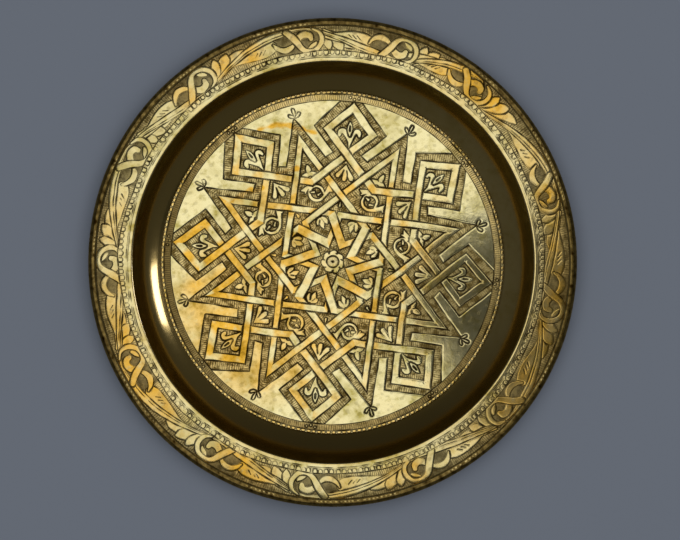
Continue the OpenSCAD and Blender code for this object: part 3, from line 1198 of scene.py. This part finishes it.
class TRAY_OT_wall(Operator):
    """Builds the hollow wall and the rounded mouth"""

    bl_idname = "tray.wall"
    bl_label = "Hollow wall"

    def execute(self, context):
        """The wall's and mouth's arcs, carried round the axis, with faint waves left by the spinning."""
        section = Section(context.scene.tray_sizes)
        arc_rows, under, count = WALL_GRID
        angles = np.linspace(0.0, math.tau, count + 1)
        upper = section.wall(0.0, arc_rows)
        lower = section.wall(section.sheet, under)[::-1]
        outline = np.vstack((upper, lower, ((section.foot_r, 0.0),)))
        rows = len(upper)
        turn, _, x, y = round_grid(upper[:, 0], angles[:-1])
        share = np.linspace(0.0, 1.0, rows)[:, None]
        rise = 0.04 * sway(x, y, 60.0, 61) * np.sin(np.pi * share)
        dark = np.ones((len(outline), count))
        dark[:rows] = 1.0 - 0.9 * ease(0.88, 0.97, share)
        cut = np.zeros((len(outline), count))
        cut[:rows] = 0.8 * (1.0 - ease(0.0, 0.05, share)) + 0.36 * ease(0.2, 0.8, share) * dark[:rows]
        # Painted shade on the wall's lower side, carried in cut, and painted light, less tarnish colour, on
        # its right side
        low_side = 0.45 * facing(turn, WALL_PAINTED_SHADE_AT, 0.35, 1.0) * dark[:rows]
        cut[:rows] += (1.0 - cut[:rows]) * low_side
        dark[:rows] *= 1.0 - 0.2 * facing(turn, WALL_PAINTED_LIGHT_AT, 0.2, 1.0)
        shades = {"cut": cut, "ground": 0.0, "gold": 0.3, "tarnish_and_painted_shade": dark}
        lathe("well_wall", outline, angles, rise, (rows - 1, len(outline) - 1), shades)
        return {"FINISHED"}


class TRAY_OT_flange(Operator):
    """Builds the engraved flange as four quarters"""

    bl_idname = "tray.flange"
    bl_label = "Engraved flange"

    def execute(self, context):
        """The flange's arc, carried through quarter turns, with the scroll and the ring punches cut in."""
        sizes = context.scene.tray_sizes
        section = Section(sizes)
        rows, under, count = FLANGE_GRID
        upper = section.flange(0.0, rows)
        lower = section.flange(section.sheet, under)[::-1]
        outline = np.vstack((upper, lower))
        flats = (rows - 1, len(outline) - 1)
        for quarter in range(4):
            angles = QUARTER * quarter + np.linspace(0.0, QUARTER, count)
            turn, r, x, y = (values.ravel() for values in round_grid(upper[:, 0], angles))
            line, ground, hatch, gold, deep = flange_drawing(turn, r)
            bowls, between = ring_punches(turn, r, sizes.rings)
            line = np.minimum(line, bowls)
            ground = np.maximum(ground, 0.5 * between)
            press = 0.57 + 0.24 * sway(x, y, 9.0, 24)
            cut, rise = engraved(line, ground, hatch, press, sizes)
            rise = rise * ease(0.0, 0.8, r - upper[0, 0])
            ground = ground * (1.0 - 0.4 * ease(*GROUND_FADES, r))
            black = 0.25 * ground * ease(*BLACK_GROUND_FROM, r)
            cut = np.maximum(cut, np.maximum(0.6 * deep, black))
            brown = np.maximum(ease(*BROWN_FROM, r), ground * ease(*BROWN_GROUND_FROM, r))
            # Painted shade on the inner part of the flange's right side, added to brown
            shady = facing(turn, FLANGE_SHADY_AT, 0.6, 0.95) * (1.0 - ease(*SHADE_ENDS, r))
            brown = 0.1 + 0.25 * brown + 0.35 * shady
            worn = 0.05 + (0.11 + 0.3 * ease(0.1, 0.9, sway(x, y, 5.0, 27))) * ease(*WORN_FROM, r)
            ground = np.maximum(ground * (0.6 + 0.3 * ease(*FULL_GROUND_FROM, r)), worn)
            grids = [values.reshape(rows, count) for values in (cut, ground, gold, brown)]
            shades = with_underside(len(lower), *grids)
            lathe(f"flange_{quarter + 1}", outline, angles, rise.reshape(rows, count), flats, shades)
        return {"FINISHED"}


class TRAY_OT_edge(Operator):
    """Builds the rolled edge with its open seam"""

    bl_idname = "tray.edge"
    bl_label = "Rolled edge"

    def execute(self, context):
        """A tube, open along the seam, carried round the axis, with a row of dashes on its crest."""
        sizes = context.scene.tray_sizes
        section = Section(sizes)
        rows, under, count = EDGE_GRID
        angles = np.linspace(0.0, math.tau, count + 1)
        gap = 0.5 * sizes.seam_gap / MM / section.roll_r
        first = section.seam - gap
        last = section.seam + gap - math.tau
        upper = section.arc(section.roll_c, section.roll_r, first, last, rows)
        lower = section.arc(section.roll_c, section.roll_r - section.sheet, last, first, under)
        outline = np.vstack((upper, lower))
        turn, _, x, y = round_grid(upper[:, 0], angles[:-1])
        tilt = np.degrees(np.linspace(first, last, rows))[:, None]
        over = np.radians(tilt - DASH_TILT) * section.roll_r
        dash = 0.5 + 0.5 * np.cos(np.radians(turn) * sizes.dashes + 2.4 * sway(x, y, 16.0, 71))
        dash = ease(0.45, 0.75, dash)
        row = np.exp(-((over / DASH_HALF) ** 2)) * ease(-0.1, 0.5, sway(x, y, 45.0, 73))
        bright = row * dash
        rise = -DASH_DEPTH * row * (1.0 - dash)
        dark = np.ones((len(outline), count))
        dark[:rows] = 1.0 - 0.75 * bright - 0.3 * ease(110.0, 135.0, tilt) * (1.0 - bright)
        # Painted shade along the top of the roll, where it faces the overhead lamp, added to cut
        crest = ease(15.0, 75.0, tilt) - 0.9 * ease(100.0, 130.0, tilt)
        stains = 0.2 * sway(x, y, 6.0, 72) + 0.12 * sway(x, y, 2.5, 74)
        cut = np.full((len(outline), count), 0.45)
        cut[:rows] = np.clip(0.2 + 0.45 * crest + stains - 0.6 * bright, 0.0, 1.0)
        shades = {"cut": cut, "ground": 0.0, "gold": 0.3, "tarnish_and_painted_shade": dark}
        lathe("rolled_edge", outline, angles, rise, (rows - 1, len(outline) - 1), shades)
        return {"FINISHED"}


class TRAY_OT_wire(Operator):
    """Finishes the wire inside the rolled edge"""

    bl_idname = "tray.wire"
    bl_label = "Edge wire"

    def execute(self, context):
        """Gives the solid model's wire the look of drawn steel."""
        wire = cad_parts.get("rim_wire")
        if wire is None:
            raise RuntimeError("the frame has no rim_wire")
        wire.data.materials.clear()
        wire.data.materials.append(drawn_steel(context.scene.tray_finish))
        return {"FINISHED"}


def soft_light(name, brightness, place, target, size, tint):
    """A rectangular lamp, turned to a target. Its power is pi times its area and its brightness."""
    lamp = bpy.data.lights.new(name, "AREA")
    lamp.shape = "RECTANGLE"
    lamp.size = size[0]
    lamp.size_y = size[1]
    lamp.energy = math.pi * size[0] * size[1] * brightness
    lamp.color = tint
    made = bpy.data.objects.new(name, lamp)
    made.location = place
    made.rotation_euler = (Vector(target) - Vector(place)).to_track_quat("-Z", "Y").to_euler()
    bpy.context.scene.collection.objects.link(made)
    return made


def stage_sheet(name, corners, z, faces):
    """A flat sheet of the stage, at a height."""
    mesh = bpy.data.meshes.new(name)
    mesh.from_pydata([corner + (z,) for corner in corners], (), faces)
    made = bpy.data.objects.new(name, mesh)
    bpy.context.scene.collection.objects.link(made)
    return made


class TRAY_OT_stage(Operator):
    """Builds the floor under the tray, the lights and the camera"""

    bl_idname = "tray.stage"
    bl_label = "Stage"

    def execute(self, context):
        """A flat floor, a large soft light over the camera, a narrow one at the side that lights the wall
        alone, a dark card that the right side reflects, and an even surround."""
        scene = context.scene
        stage = scene.tray_stage
        corners = [(x * TABLE_HALF, y * TABLE_HALF) for x, y in ((-1, -1), (1, -1), (1, 1), (-1, 1))]
        table = stage_sheet("table", corners, TABLE_Z, ((0, 1, 2, 3),))
        inputs = {"Base Color": color(stage.floor), "Roughness": 0.8}
        table.data.materials.append(Net("table_top").finish("ShaderNodeBsdfPrincipled", inputs))

        world = bpy.data.worlds.new("surround")
        world.use_nodes = True
        background = world.node_tree.nodes["Background"]
        background.inputs["Color"].default_value = SURROUND
        background.inputs["Strength"].default_value = stage.ambient
        scene.world = world

        soft_light("overhead", stage.light, *OVERHEAD)
        streak = soft_light("streak", STREAK_LIGHT, *STREAK)
        lit = bpy.data.collections.new("streak_target")
        lit.objects.link(bpy.data.objects["well_wall"])
        streak.light_linking.receiver_collection = lit

        card = stage_sheet("dark_card", CARD_CORNERS, CARD_Z, CARD_FACES)
        card.data.polygons.foreach_set("material_index", range(len(CARD_FACES)))
        card.visible_camera = False
        card.visible_diffuse = False
        card.visible_shadow = False
        for face, share in enumerate(CARD_OPEN):
            net = Net(f"card_{face + 1}")
            cloth = net.add("ShaderNodeBsdfDiffuse", {}, {"Color": CARD_TINT}, "BSDF")
            hole = net.add("ShaderNodeBsdfTransparent", {}, {}, "BSDF")
            inputs = {"Fac": share, 1: cloth, 2: hole}
            card.data.materials.append(net.finish("ShaderNodeMixShader", inputs, "Shader"))

        camera = bpy.data.cameras.new("camera")
        camera.sensor_width = 36.0
        camera.lens = camera.sensor_width * stage.camera_height / stage.view_width
        camera.clip_start = 0.05
        eye = bpy.data.objects.new("camera", camera)
        aim = Vector((*stage.view_middle, SHEET_HIGH[2]))
        eye.location = aim + Vector((-stage.camera_side, 0.0, stage.camera_height))
        back = (eye.location - aim).normalized()
        right = Vector((0.0, 1.0, 0.0)).cross(back).normalized()
        eye.rotation_euler = Matrix((right, back.cross(right), back)).transposed().to_euler()
        scene.collection.objects.link(eye)
        scene.camera = eye
        scene.view_settings.view_transform = "Standard"
        return {"FINISHED"}


BUILDERS = (
    TRAY_OT_floor,
    TRAY_OT_border,
    TRAY_OT_wall,
    TRAY_OT_flange,
    TRAY_OT_edge,
    TRAY_OT_wire,
    TRAY_OT_stage,
)


class TRAY_PT_panel(Panel):
    """Buttons and values of the tray"""

    bl_idname = "TRAY_PT_panel"
    bl_label = "Brass tray"
    bl_space_type = "VIEW_3D"
    bl_region_type = "UI"
    bl_category = "Brass tray"

    def draw(self, context):
        """Lists the builders, then the values of each group."""
        for builder in BUILDERS:
            self.layout.operator(builder.bl_idname)
        for group in (context.scene.tray_sizes, context.scene.tray_finish, context.scene.tray_stage):
            box = self.layout.box()
            for key in group.__annotations__:
                box.prop(group, key)


CLASSES = (TraySizes, TrayFinish, TrayStage) + BUILDERS + (TRAY_PT_panel,)


def register():
    """Registers the classes and puts the values on the scene."""
    for made in CLASSES:
        bpy.utils.register_class(made)
    bpy.types.Scene.tray_sizes = PointerProperty(type=TraySizes)
    bpy.types.Scene.tray_finish = PointerProperty(type=TrayFinish)
    bpy.types.Scene.tray_stage = PointerProperty(type=TrayStage)


def unregister():
    """Takes the values and the classes away again."""
    del bpy.types.Scene.tray_stage
    del bpy.types.Scene.tray_finish
    del bpy.types.Scene.tray_sizes
    for made in reversed(CLASSES):
        bpy.utils.unregister_class(made)


def main():
    """Builds the tray and its stage."""
    register()
    bpy.ops.tray.floor()
    bpy.ops.tray.border()
    bpy.ops.tray.wall()
    bpy.ops.tray.flange()
    bpy.ops.tray.edge()
    bpy.ops.tray.wire()
    bpy.ops.tray.stage()


if __name__ == "__main__":
    main()
